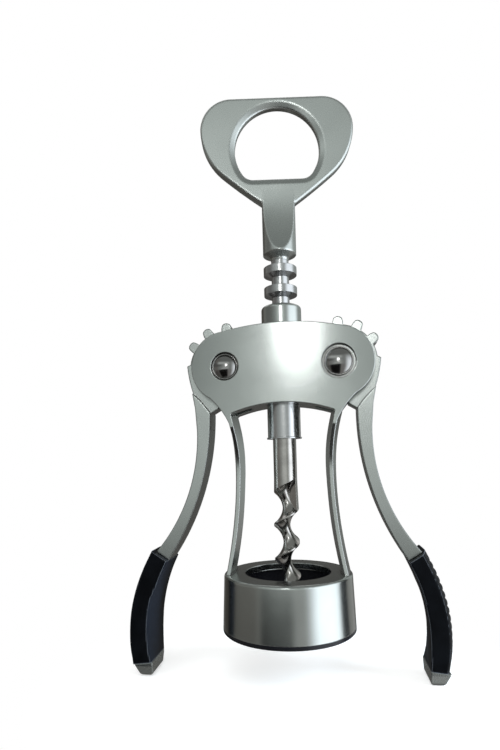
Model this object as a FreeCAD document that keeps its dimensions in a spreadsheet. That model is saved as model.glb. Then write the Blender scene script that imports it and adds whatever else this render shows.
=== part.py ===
import FreeCAD, Part
import math
import os
import Sketcher
from FreeCAD import Placement, Rotation, Vector

# Wing corkscrew. Millimetres. The origin is the centre of the base ring's bottom mouth,
# +Z runs up the worm's axis, +X to the right lever, and the front is at -Y.
# The levers hang down at rest. Each lever's own frame has its pivot at the origin and x outward.

# ---------------------------------------------------------------- driving sizes
SIZES = {
    # base ring and its plastic seat
    "base_height": 18.8,
    "bottle_radius": 15.2,
    "liner_wall": 3.65,
    "seat_gap": 0.05,
    "base_wall": 2.3,
    "base_flare": 0.75,
    "base_flange": 2.2,
    "neck_stop": 0.95,
    "lip_height": 1.4,
    "base_edge_round": 0.9,
    # legs
    "leg_width": 3.2,
    "leg_face": 1.2,
    "leg_waist_x": 15.15,
    "leg_waist_z": 48.0,
    "leg_waist_half_depth": 4.9,
    # pivots, rack and gear teeth
    "pivot_x": 18.2,
    "pivot_z": 86.5,
    "gear_teeth": 13.0,
    "gear_pitch_radius": 13.8,
    "gear_addendum": 1.3,
    "gear_dedendum": 1.3,
    "pressure_angle": 20.0,
    "backlash": 0.28,
    "first_tooth_angle": 34.6,
    "sector_teeth": 7.0,
    "tooth_tip_round": 0.5,
    "rack_radius": 5.47,
    "rack_root_radius": 2.9,
    "rack_ribs": 6.0,
    "rack_end_z": 62.8,
    "rack_clearance": 0.06,
    # frame head
    "head_centre_depth": 17.4,
    "head_lobe_depth": 15.8,
    "lobe_radius": 11.25,
    "lobe_low_angle": -62.0,
    "lobe_high_angle": 85.0,
    "neck_drop": 18.2,
    "window_corner_in": 1.5,
    "window_corner_drop": 3.0,
    "head_top_z": 99.6,
    "bridge_z": 74.2,
    "lever_slot_radius": 15.5,
    "lever_side_clearance": 0.15,
    "collar_radius": 6.6,
    "collar_top_z": 106.5,
    # pivot pins and caps
    "pin_radius": 2.0,
    "pin_clearance": 0.05,
    "left_cap_radius": 4.2,
    "right_cap_radius": 4.55,
    "left_cap_gap": 0.35,
    "right_cap_gap": 0.9,
    "cap_rim": 0.75,
    "cap_lip": 0.45,
    "cap_dome": 1.3,
    "recess_depth": 1.2,
    # levers and grips
    "hub_thickness": 6.4,
    "arm_depth": 9.6,
    "core_depth": 6.0,
    "grip_depth": 14.4,
    "grip_bevel": 0.8,
    "tip_inset": 0.6,
    "tip_slope": 1.8,
    "lever_play": 0.5,
    # handle
    "stem_radius": 5.5,
    "plate_thickness": 3.4,
    "stem_z": 123.8,
    "stem_cone": 1.35,
    "runout_z": 145.0,
    "handle_top_z": 175.6,
    "handle_half_width": 25.2,
    "handle_corner_radius": 10.2,
    "handle_side_radius": 20.0,
    "handle_side_turn": 50.0,
    "handle_low_radius": 181.0,
    "handle_low_turn": 5.2,
    "handle_rim_bevel": 0.55,
    "handle_turn": 7.0,
    "mouth_radius": 14.0,
    "mouth_z": 158.4,
    "mouth_flat_z": 148.75,
    "mouth_corner": 4.2,
    "mouth_bevel": 1.8,
    "mouth_bevel_depth": 0.8,
    # worm
    "shank_radius": 3.85,
    "shank_end_z": 49.5,
    "worm_radius": 4.2,
    "worm_core_radius": 1.2,
    "worm_pitch": 11.4,
    "worm_turns": 4.0,
    "worm_tip_z": 8.0,
    "worm_turn": -30.0,
    "flute_end_z": 44.65,
    "blade_edge": 0.5,
    "tail_radius": 1.6,
    "tail_in_handle": 8.0,
    "spin_clearance": 0.05,
    "shoulder_z": 76.0,
}

DOC = FreeCAD.newDocument("WingCorkscrew")
SHEET = DOC.addObject("Spreadsheet::Sheet", "Sizes")
for row, (alias, number) in enumerate(SIZES.items(), start=1):
    SHEET.set(f"A{row}", alias)
    SHEET.set(f"B{row}", str(number))
    SHEET.setAlias(f"B{row}", alias)
DOC.recompute()


class Size:
    """A number and the sheet formula that gives it, so that what is bound to it follows the sheet."""

    def __init__(self, value, formula=None):
        self.value = float(value)
        self.formula = formula or f"({self.value!r})"

    def __add__(self, other):
        other = size(other)
        return Size(self.value + other.value, f"({self.formula} + {other.formula})")

    def __sub__(self, other):
        other = size(other)
        return Size(self.value - other.value, f"({self.formula} - {other.formula})")

    def __mul__(self, other):
        other = size(other)
        return Size(self.value * other.value, f"({self.formula} * {other.formula})")

    def __truediv__(self, other):
        other = size(other)
        return Size(self.value / other.value, f"({self.formula} / {other.formula})")

    def __neg__(self):
        return Size(-self.value, f"(0 - {self.formula})")

    def __radd__(self, other):
        return size(other) + self

    def __rsub__(self, other):
        return size(other) - self

    def __rmul__(self, other):
        return size(other) * self


def size(number):
    """A plain number or a Size as a Size."""
    return number if isinstance(number, Size) else Size(number)


def of(alias):
    """The Size of one cell of the sheet."""
    return Size(SHEET.get(alias), f"Sizes.{alias}")


def sine(angle):
    """Sine of an angle in degrees."""
    angle = size(angle)
    return Size(math.sin(math.radians(angle.value)), f"sin({angle.formula})")


def cosine(angle):
    """Cosine of an angle in degrees."""
    angle = size(angle)
    return Size(math.cos(math.radians(angle.value)), f"cos({angle.formula})")


def root(number):
    """Square root."""
    return Size(math.sqrt(number.value), f"sqrt({number.formula})")


def tangent(angle):
    """Tangent of an angle in degrees."""
    angle = size(angle)
    return Size(math.tan(math.radians(angle.value)), f"tan({angle.formula})")


def arc_cosine(number):
    """Arc cosine in degrees, as a plain number."""
    return Size(math.degrees(math.acos(number.value)), f"(acos({number.formula}) / 1 deg)")


class Via:
    """A point that the arc from the last corner to the next one passes through."""

    def __init__(self, across, up):
        self.across = size(across)
        self.up = size(up)


class Disc:
    """A full circle in a sketch."""

    def __init__(self, across, up, radius):
        self.across = size(across)
        self.up = size(up)
        self.radius = size(radius)


def polar(radius, angle):
    """A corner at a radius and an angle about the sketch's origin."""
    return radius * cosine(angle), radius * sine(angle)


def mirrored(outline):
    """The same outline on the other side of the sketch's upright axis."""
    flipped = []
    for point in outline:
        if isinstance(point, Via):
            flipped.append(Via(-point.across, point.up))
        elif isinstance(point, Disc):
            flipped.append(Disc(-point.across, point.up, point.radius))
        else:
            flipped.append((-size(point[0]), point[1]))
    return flipped


# ---------------------------------------------------------------- sketches and features
def bind_point(sketch, geometry, position, across, up):
    """Hold one point of a sketch at two sheet formulas."""
    for kind, target in (("DistanceX", across), ("DistanceY", up)):
        target = size(target)
        index = sketch.addConstraint(Sketcher.Constraint(kind, -1, 1, geometry, position, target.value))
        sketch.setExpression(f"Constraints[{index}]", target.formula)


def flat(across, up):
    """A sketch vector from two sizes."""
    return Vector(size(across).value, size(up).value, 0)


def draw_loop(sketch, loop):
    """Draw one closed outline: corners joined by lines, or by an arc where a Via stands between two."""
    if isinstance(loop, Disc):
        ring = Part.Circle(flat(loop.across, loop.up), Vector(0, 0, 1), loop.radius.value)
        circle = sketch.addGeometry(ring)
        bind_point(sketch, circle, 3, loop.across, loop.up)
        index = sketch.addConstraint(Sketcher.Constraint("Radius", circle, loop.radius.value))
        sketch.setExpression(f"Constraints[{index}]", loop.radius.formula)
        return
    corners = [index for index, point in enumerate(loop) if not isinstance(point, Via)]
    edges = []
    for here, following in zip(corners, corners[1:] + [corners[0] + len(loop)]):
        start = flat(*loop[here])
        end = flat(*loop[following % len(loop)])
        if following - here == 1:
            edge = sketch.addGeometry(Part.LineSegment(start, end))
        else:
            via = loop[(here + 1) % len(loop)]
            middle = flat(via.across, via.up)
            edge = sketch.addGeometry(Part.Arc(start, middle, end))
            marker = sketch.addGeometry(Part.Point(middle), True)
            bind_point(sketch, marker, 1, via.across, via.up)
            sketch.addConstraint(Sketcher.Constraint("PointOnObject", marker, 1, edge))
        first = 1 if sketch.getPoint(edge, 1).distanceToPoint(start) < 1e-6 else 2
        edges.append((edge, first, 3 - first, loop[here]))
    for (edge, first, _, corner), (before, _, last, _) in zip(edges, edges[-1:] + edges[:-1]):
        sketch.addConstraint(Sketcher.Constraint("Coincident", before, last, edge, first))
        bind_point(sketch, edge, first, *corner)


def sketch_on(body, name, plane, loops, offset=None):
    """A sketch of closed outlines on one of the body's own origin planes."""
    sketch = body.newObject("Sketcher::SketchObject", name)
    support = [item for item in body.Origin.OriginFeatures if item.Role == plane][0]
    sketch.AttachmentSupport = [(support, "")]
    sketch.MapMode = "FlatFace"
    if offset is not None:
        sketch.setExpression("AttachmentOffset.Base.z", size(offset).formula)
    DOC.recompute()
    for loop in loops:
        draw_loop(sketch, loop)
    DOC.recompute()
    return sketch


def extrude(body, name, kind, plane, loops, length, offset=None, both_ways=True, reverse=False):
    """Pad or pocket outlines by a length, both ways from the plane or one way."""
    sketch = sketch_on(body, name + "Sketch", plane, loops, offset)
    before = 0.0 if body.Shape.isNull() else body.Shape.Volume
    feature = body.newObject("PartDesign::" + kind, name)
    feature.Profile = sketch
    feature.SideType = "Symmetric" if both_ways else "One side"
    feature.Reversed = reverse
    feature.Type = "Length"
    feature.setExpression("Length", size(length).formula)
    DOC.recompute()
    check_change(body, name, kind, before)
    return feature


def loft_sections(body, name, sections):
    """Join closed outlines at rising heights with one smooth skin."""
    sketches = [sketch_on(body, f"{name}Section{number}", "XY_Plane", [loop], height)
                for number, (height, loop) in enumerate(sections, start=1)]
    before = 0.0 if body.Shape.isNull() else body.Shape.Volume
    feature = body.newObject("PartDesign::AdditiveLoft", name)
    feature.Profile = sketches[0]
    feature.Sections = sketches[1:]
    feature.Ruled = False
    DOC.recompute()
    check_change(body, name, "AdditiveLoft", before)
    return feature


def revolve(body, name, kind, loops, plane="XZ_Plane", axis="Z_Axis"):
    """Turn outlines right round one of the body's own axes, adding or cutting."""
    sketch = sketch_on(body, name + "Sketch", plane, loops)
    before = 0.0 if body.Shape.isNull() else body.Shape.Volume
    feature = body.newObject("PartDesign::" + kind, name)
    feature.Profile = sketch
    feature.ReferenceAxis = ([item for item in body.Origin.OriginFeatures if item.Role == axis][0], [""])
    feature.Angle = 360
    DOC.recompute()
    check_change(body, name, kind, before)
    return feature


def rim_edges(shape, depth, keep=None):
    """Names of a shape's edges that lie flat at a depth in front of and behind the body's own XZ plane."""
    names = []
    for number, edge in enumerate(shape.Edges, start=1):
        box = edge.BoundBox
        flat_edge = box.YLength < 1e-6 and abs(abs(box.YMin) - size(depth).value) < 1e-6
        if flat_edge and (keep is None or keep(edge)):
            names.append(f"Edge{number}")
    return names


def bevel(body, name, edges, amount, second=None):
    """Chamfer edges of the body's tip, evenly or with a second width across the other face."""
    base = body.Tip
    before = body.Shape.Volume
    feature = body.newObject("PartDesign::Chamfer", name)
    feature.Base = (base, edges)
    if second is not None:
        feature.ChamferType = "Two distances"
        feature.setExpression("Size2", size(second).formula)
    feature.setExpression("Size", size(amount).formula)
    DOC.recompute()
    check_change(body, name, "Chamfer", before)
    return feature


def check_change(body, name, kind, before):
    """Raise an error where a feature failed or changed nothing."""
    after = body.Shape.Volume
    grows = kind in ("Pad", "Revolution", "AdditiveHelix", "AdditiveLoft")
    if (after - before) * (1 if grows else -1) < 1e-4:
        what = f"{body.Label}: {name} ({kind})"
        raise RuntimeError(f"{what} changed the volume from {before:.3f} to {after:.3f}")


def new_body(label, across=0, away=0, up=0, turn=None):
    """An empty body whose place follows the sheet."""
    body = DOC.addObject("PartDesign::Body", label)
    body.Label = label
    if turn is not None:
        body.Placement = Placement(Vector(0, 0, 0), turn)
    for field, amount in (("x", across), ("y", away), ("z", up)):
        body.setExpression(f"Placement.Base.{field}", size(amount).formula)
    DOC.recompute()
    return body


# ---------------------------------------------------------------- sizes that follow from the driving ones
BASE_HEIGHT = of("base_height")
BASE_INNER_RADIUS = of("bottle_radius") + of("liner_wall") + of("seat_gap")
BASE_RADIUS = BASE_INNER_RADIUS + of("base_wall")
FOOT_RADIUS = BASE_RADIUS + of("base_flare")
CAP_HOLE_RADIUS = of("bottle_radius") - of("neck_stop")
LIP_HEIGHT = of("lip_height")
PIVOT_X = of("pivot_x")
PIVOT_Z = of("pivot_z")
PITCH_RADIUS = of("gear_pitch_radius")
TOOTH_PITCH = PITCH_RADIUS * (2 * math.pi) / of("gear_teeth")
RACK_PITCH_RADIUS = PIVOT_X - PITCH_RADIUS
HUB_RADIUS = PITCH_RADIUS - of("gear_dedendum")
TIP_RADIUS = PITCH_RADIUS + of("gear_addendum")
TOOTH_THICKNESS = (TOOTH_PITCH - of("backlash")) / 2
RACK_RADIUS = of("rack_radius")
RACK_ROOT = of("rack_root_radius")
RACK_BORE = RACK_RADIUS + of("rack_clearance")
RACK_END_Z = of("rack_end_z")
LOBE_HALF = of("head_lobe_depth") / 2
CENTRE_HALF = of("head_centre_depth") / 2
SLOT_WIDTH = of("hub_thickness") + 2 * of("lever_side_clearance")
PIN_BORE = of("pin_radius") + of("pin_clearance")
SHANK_RADIUS = of("shank_radius")
STEM_RADIUS = of("stem_radius")
PLATE_HALF = of("plate_thickness") / 2
TAIL_END_Z = of("stem_z") + of("tail_in_handle")
CLEAR_THROUGH = 60


# the tooth that stands level with the pivot's height sets where the rack's grooves lie
def groove_z(number):
    """Height of a groove of the rack, counted up from the one that the lowest tooth of a lever fills."""
    tooth_angle = 180 - of("first_tooth_angle") - (of("sector_teeth") - 1) * 360 / of("gear_teeth")
    return PIVOT_Z + PITCH_RADIUS * tooth_angle * (math.pi / 180) + number * TOOTH_PITCH


RACK_TOP_Z = groove_z(of("rack_ribs")) + 0.2


# ---------------------------------------------------------------- frame
def leg_stations():
    """Height, distance from the axis, width and half depth of a leg, from the ring up into the head."""
    width = of("leg_width")
    waist_x = of("leg_waist_x")
    waist_z = of("leg_waist_z")
    waist_depth = of("leg_waist_half_depth")
    return [(BASE_HEIGHT - of("base_flange") + 0.2, BASE_RADIUS - 1.8, width, waist_depth + 1.9),
            (BASE_HEIGHT + 5.0, BASE_RADIUS - 3.25, width, waist_depth + 1.1),
            (waist_z - 15.0, waist_x + 1.3, width, waist_depth + 0.35),
            (waist_z, waist_x, width, waist_depth),
            (waist_z + 13.0, waist_x + 0.25, width + 0.3, waist_depth + 1.2),
            (waist_z + 20.5, waist_x + 1.55, width + 0.4, CENTRE_HALF - 0.2),
            (PIVOT_Z - 13.0, PIVOT_X - 0.2, width + 0.6, CENTRE_HALF - 0.1)]


def leg_section(middle, width, half_depth):
    """A six-sided section of a leg: narrow faces at the front and back, and sides that swell between them."""
    face = of("leg_face") / 2
    half = width / 2
    return [(middle - face, -half_depth), (middle + face, -half_depth), (middle + half, 0),
            (middle + face, half_depth), (middle - face, half_depth), (middle - half, 0)]


def frame_casting():
    """The one-piece casting: base ring, two legs, the head's two walls and the collar round the rack."""
    body = new_body("frame_casting")

    # legs, waisted in front and side view
    for name, side in (("RightLeg", 1), ("LeftLeg", -1)):
        sections = [(z, leg_section(x * side, width, depth)) for z, x, width, depth in leg_stations()]
        loft_sections(body, name, sections)

    # base ring with its top flange
    top_round = of("base_edge_round")
    under_flange = BASE_HEIGHT - of("base_flange")
    ring = [(FOOT_RADIUS, LIP_HEIGHT), (BASE_RADIUS, BASE_HEIGHT - top_round),
            Via(BASE_RADIUS - 0.3 * top_round, BASE_HEIGHT - 0.3 * top_round),
            (BASE_RADIUS - top_round, BASE_HEIGHT), (CAP_HOLE_RADIUS, BASE_HEIGHT),
            (CAP_HOLE_RADIUS, under_flange), (BASE_INNER_RADIUS, under_flange),
            (BASE_INNER_RADIUS, LIP_HEIGHT)]
    revolve(body, "BaseRing", "Revolution", [ring])

    # head, in front view: its necks narrow down to the legs' faces, and the window's corners are round
    lobe = of("lobe_radius")
    neck_z = PIVOT_Z - of("neck_drop")
    neck_x = of("leg_waist_x") + 1.6
    neck_inside = (neck_x - of("leg_face") / 2 + 0.1, neck_z)
    neck = (neck_x + of("leg_face") / 2, neck_z)
    low = (PIVOT_X + lobe * cosine(of("lobe_low_angle")), PIVOT_Z + lobe * sine(of("lobe_low_angle")))
    high = (PIVOT_X + lobe * cosine(of("lobe_high_angle")), PIVOT_Z + lobe * sine(of("lobe_high_angle")))
    corner_x = PIVOT_X - of("window_corner_in")
    corner_z = of("bridge_z") - of("window_corner_drop")
    corner = [(corner_x + 0.1, corner_z - 0.8), Via(corner_x - 0.25, corner_z - 0.05),
              (corner_x - 1.1, corner_z + 0.38)]
    right = [neck, Via(PIVOT_X + 2.0, PIVOT_Z - 13.5), low, Via(PIVOT_X + lobe, PIVOT_Z), high]
    left = list(reversed(mirrored(right)))
    right_window = [Via(0, of("bridge_z"))] + list(reversed(corner)) + [neck_inside]
    left_window = mirrored([neck_inside] + corner)
    head = right + [Via(0, of("head_top_z"))] + left + left_window + right_window
    extrude(body, "Head", "Pad", "XZ_Plane", [head], CENTRE_HALF * 2)
    # the two faces bow forward in one long arc: deepest on the axis, the lobes' depth at the pivots
    reach = PIVOT_X + lobe + 1
    sink = CENTRE_HALF - LOBE_HALF
    sweep = (PIVOT_X * PIVOT_X + sink * sink) / (sink * 2)
    end = CENTRE_HALF - sweep + root(sweep * sweep - reach * reach)
    outside = -CENTRE_HALF - 1
    bow = [(reach, -end), Via(0, -CENTRE_HALF), (-reach, -end), (-reach, outside), (reach, outside)]
    back = [Via(point.across, -point.up) if isinstance(point, Via) else (point[0], -point[1])
            for point in bow]
    for name, outline in (("FrontBow", bow), ("BackBow", back)):
        extrude(body, name, "Pocket", "XY_Plane", [outline], CLEAR_THROUGH, offset=PIVOT_Z - 20,
                both_ways=False, reverse=True)

    # room for the levers between the walls
    slots = [Disc(PIVOT_X, PIVOT_Z, of("lever_slot_radius"))]
    for name, outline in (("RightSlot", slots), ("LeftSlot", mirrored(slots))):
        extrude(body, name, "Pocket", "XZ_Plane", outline, SLOT_WIDTH)

    # collar round the rack
    collar_round = 1.1
    collar_low = of("head_top_z") - 2.4
    collar = of("collar_radius")
    ring = [(0, collar_low), (collar, collar_low), (collar, of("collar_top_z") - collar_round),
            Via(collar - 0.3 * collar_round, of("collar_top_z") - 0.3 * collar_round),
            (collar - collar_round, of("collar_top_z")), (0, of("collar_top_z"))]
    revolve(body, "Collar", "Revolution", [ring])
    extrude(body, "RackBore", "Pocket", "XY_Plane", [Disc(0, 0, RACK_BORE)], CLEAR_THROUGH,
            offset=of("bridge_z") - 12, both_ways=False, reverse=True)

    # pivot holes and the caps' recesses
    holes = [Disc(PIVOT_X, PIVOT_Z, of("pin_radius")), Disc(-PIVOT_X, PIVOT_Z, of("pin_radius"))]
    extrude(body, "PinHoles", "Pocket", "XZ_Plane", holes, CENTRE_HALF * 2 + 2)
    wide = [Disc(PIVOT_X, PIVOT_Z, of("right_cap_radius") + of("right_cap_gap")),
            Disc(-PIVOT_X, PIVOT_Z, of("left_cap_radius") + of("left_cap_gap"))]
    floor = LOBE_HALF - of("recess_depth")
    for name, offset, reverse in (("FrontRecesses", floor, True), ("BackRecesses", -floor, False)):
        extrude(body, name, "Pocket", "XZ_Plane", wide, 5, offset=offset, both_ways=False, reverse=reverse)
    return body


def bottle_seat_liner():
    """The plastic liner in the base ring that sits on the bottle's neck, with a lip under the ring."""
    body = new_body("bottle_seat_liner")
    skin = of("bottle_radius") + of("liner_wall")
    top = BASE_HEIGHT - of("base_flange")
    bore = of("bottle_radius")
    edge = 0.35
    outline = [(bore, 0), (FOOT_RADIUS - edge, 0), (FOOT_RADIUS, edge), (FOOT_RADIUS, LIP_HEIGHT),
               (skin, LIP_HEIGHT), (skin, top), (bore, top)]
    revolve(body, "Liner", "Revolution", [outline])
    return body


def pivot_pin(label, side):
    """The steel pin that a lever turns on, from recess floor to recess floor."""
    body = new_body(label, across=PIVOT_X * side, up=PIVOT_Z)
    length = (LOBE_HALF - of("recess_depth")) * 2
    extrude(body, "Pin", "Pad", "XZ_Plane", [Disc(0, 0, of("pin_radius"))], length)
    return body


def pivot_cap(label, side, facing, radius):
    """A low domed cap with a rounded lip over one end of a pivot pin."""
    seat = LOBE_HALF - of("recess_depth")
    turn = Rotation(Vector(0, 0, 1), Vector(0, facing, 0))
    body = new_body(label, across=PIVOT_X * side, away=seat * facing, up=PIVOT_Z, turn=turn)
    lip = of("cap_lip")
    foot = of("cap_rim") - lip / 2
    dome = radius - lip
    high = foot + of("cap_dome")
    sphere = (dome * dome + of("cap_dome") * of("cap_dome")) / (of("cap_dome") * 2)
    between = high - sphere + root(sphere * sphere - dome * dome * 0.25)
    outline = [(0, 0), (radius, 0), (radius, foot), Via(radius - lip / 2, of("cap_rim")), (dome, foot),
               Via(dome * 0.5, between), (0, high)]
    revolve(body, "Dome", "Revolution", [outline])
    return body


# ---------------------------------------------------------------- levers
def involute_half_angle(radius):
    """Half a tooth's angle at a radius, in degrees, for involute flanks."""
    base = PITCH_RADIUS * cosine(of("pressure_angle"))
    local = arc_cosine(base / radius)
    at_pitch = TOOTH_THICKNESS / PITCH_RADIUS * (90 / math.pi)
    roll = (tangent(of("pressure_angle")) - tangent(local)) * (180 / math.pi)
    return at_pitch + roll - of("pressure_angle") + local


# corners that a lever and its grip share, in the lever's own frame
ARM_END_OUTER = (24.9, -60.57)
ARM_END_INNER = (20.7, -63.39)
GRIP_START_OUTER = (25.9, -59.9)
GRIP_START_INNER = (20.5, -63.53)
CORE = [(23.6, -60.2), Via(29.6, -76.0), (31.0, -99.0), (28.4, -99.0), Via(26.6, -78.0), (21.6, -62.2)]
TIP_SEAM_OUTER = (33.1, -97.6)
TIP_SEAM_INNER = (26.4, -96.9)


def lever_turn(side):
    """How a lever's own frame is turned: outwards, and both lean to the left within the teeth's backlash."""
    lean = Rotation(Vector(0, 1, 0), SIZES["lever_play"])
    return lean * Rotation(Vector(0, 0, 1), 0 if side > 0 else 180)


def lever(label, side):
    """One lever: a toothed hub between the frame's walls, a thicker arm, a core for the grip and a tip."""
    body = new_body(label, across=PIVOT_X * side, up=PIVOT_Z, turn=lever_turn(side))
    thickness = of("hub_thickness")

    # hub disc and the strip that carries the arm
    extrude(body, "Hub", "Pad", "XZ_Plane", [Disc(0, 0, HUB_RADIUS)], thickness)
    strip = [(8, 2.6), (12.2, 1.95), (13.5, 1.3), Via(12.9, -3.0), (11.6, -8.0), (10.7, -13.0),
             (10.2, -20.0), (5.8, -20.0), (5.7, -14.6), (3.1, -13.1), (2.0, -9.0)]
    extrude(body, "Strip", "Pad", "XZ_Plane", [strip], thickness)

    # one tooth, then the sector
    base_radius = PITCH_RADIUS * cosine(of("pressure_angle")) + 0.02
    first = of("first_tooth_angle")
    flank_end = TIP_RADIUS - of("tooth_tip_round")
    low, middle, high = (involute_half_angle(radius) for radius in (base_radius, PITCH_RADIUS, flank_end))
    inside = HUB_RADIUS - 1
    tooth = [polar(inside, first + low), polar(base_radius, first + low),
             Via(*polar(PITCH_RADIUS, first + middle)), polar(flank_end, first + high),
             Via(*polar(TIP_RADIUS, first)), polar(flank_end, first - high),
             Via(*polar(PITCH_RADIUS, first - middle)), polar(base_radius, first - low),
             polar(inside, first - low)]
    pad = extrude(body, "Tooth", "Pad", "XZ_Plane", [tooth], thickness)
    before = body.Shape.Volume
    pattern = body.newObject("PartDesign::PolarPattern", "Sector")
    pattern.Originals = [pad]
    pattern.Axis = ([item for item in body.Origin.OriginFeatures if item.Role == "Y_Axis"][0], [""])
    pattern.Reversed = True
    pattern.setExpression("Occurrences", "Sizes.sector_teeth")
    pattern.setExpression("Angle", "360 / Sizes.gear_teeth * (Sizes.sector_teeth - 1)")
    body.Tip = pattern
    DOC.recompute()
    check_change(body, "Sector", "Pad", before)

    # arm: two long arcs from the shoulder to the grip
    arm = [(11.6, -8.0), (10.7, -13.0), (10.2, -20.0), Via(13.6, -41.5), ARM_END_OUTER, ARM_END_INNER,
           Via(10.0, -41.5), (5.8, -18.0), (5.7, -14.6), Via(9.3, -10.2)]
    extrude(body, "Arm", "Pad", "XZ_Plane", [arm], of("arm_depth"))
    extrude(body, "Core", "Pad", "XZ_Plane", [CORE], of("core_depth"))
    # the bare tip: narrower than the grip on its outer side, its front and back sloping in towards the end
    seam_x = TIP_SEAM_OUTER[0] - of("tip_inset")
    tip = [(seam_x, TIP_SEAM_OUTER[1]), (31.3, -100.6), Via(30.8, -101.3), (29.8, -101.6), (27.6, -101.6),
           Via(26.8, -101.3), (26.5, -100.6), TIP_SEAM_INNER]
    half = of("grip_depth") / 2 - of("tip_inset")
    extrude(body, "Tip", "Pad", "XZ_Plane", [tip], half * 2)
    high = TIP_SEAM_OUTER[1] - 0.6
    low = high - 4.8
    slope = [(-half - 1, high), (-half, high), (-half + of("tip_slope"), low), (-half - 1, low)]
    extrude(body, "TipSlopes", "Pocket", "YZ_Plane", [slope, mirrored(slope)], CLEAR_THROUGH * 2)
    extrude(body, "PinBore", "Pocket", "XZ_Plane", [Disc(0, 0, PIN_BORE)], of("arm_depth") + 2)
    return body


def grip(label, side):
    """The soft grip moulded round a lever's core."""
    body = new_body(label, across=PIVOT_X * side, up=PIVOT_Z, turn=lever_turn(side))
    outline = [GRIP_START_OUTER, Via(30.6, -72.4), (33.3, -85.5), Via(33.6, -91.0), TIP_SEAM_OUTER,
               TIP_SEAM_INNER, Via(26.5, -91.0), (26.2, -84.0), Via(24.2, -73.0), GRIP_START_INNER]
    pad = extrude(body, "Sleeve", "Pad", "XZ_Plane", [outline], of("grip_depth"))
    bevel(body, "Bevels", rim_edges(pad.Shape, of("grip_depth") / 2), of("grip_bevel"))
    extrude(body, "CoreRoom", "Pocket", "XZ_Plane", [CORE], of("core_depth"))
    return body


# ---------------------------------------------------------------- rack, handle and worm
def rack_sleeve():
    """The ringed sleeve that the teeth drive. It slides in the collar, and the worm's tail turns in it."""
    body = new_body("rack_sleeve")
    slope = tangent(of("pressure_angle"))
    ring_half = (TOOTH_PITCH - of("backlash")) / 4
    tip_half = ring_half - (RACK_RADIUS - RACK_PITCH_RADIUS) * slope
    root_half = ring_half + (RACK_PITCH_RADIUS - RACK_ROOT) * slope
    bore = of("tail_radius") + of("spin_clearance")
    shank_bore = SHANK_RADIUS + of("spin_clearance")
    shoulder = of("shoulder_z")
    outline = [(bore, RACK_TOP_Z), (bore, shoulder), (shank_bore, shoulder), (shank_bore, RACK_END_Z),
               (RACK_RADIUS + 0.3, RACK_END_Z), (RACK_RADIUS + 0.3, RACK_END_Z + 0.5),
               (RACK_RADIUS, RACK_END_Z + 0.5)]
    for number in range(round(of("rack_ribs").value) + 1):
        below = groove_z(number) - TOOTH_PITCH / 2
        above = groove_z(number) + TOOTH_PITCH / 2
        outline += [(RACK_RADIUS, below + tip_half), (RACK_ROOT, below + root_half)]
        if number < round(of("rack_ribs").value):
            outline += [(RACK_ROOT, above - root_half), (RACK_RADIUS, above - tip_half)]
    outline.append((RACK_ROOT, RACK_TOP_Z))
    revolve(body, "Sleeve", "Revolution", [outline])
    return body


def in_mouth(edge):
    """Whether an edge of the plate belongs to the mouth's outline."""
    box = edge.BoundBox
    reach = of("mouth_radius").value + 0.1
    low = of("mouth_flat_z").value - 0.1
    high = of("handle_top_z").value - 2
    return box.XMin > -reach and box.XMax < reach and box.ZMin > low and box.ZMax < high


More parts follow.
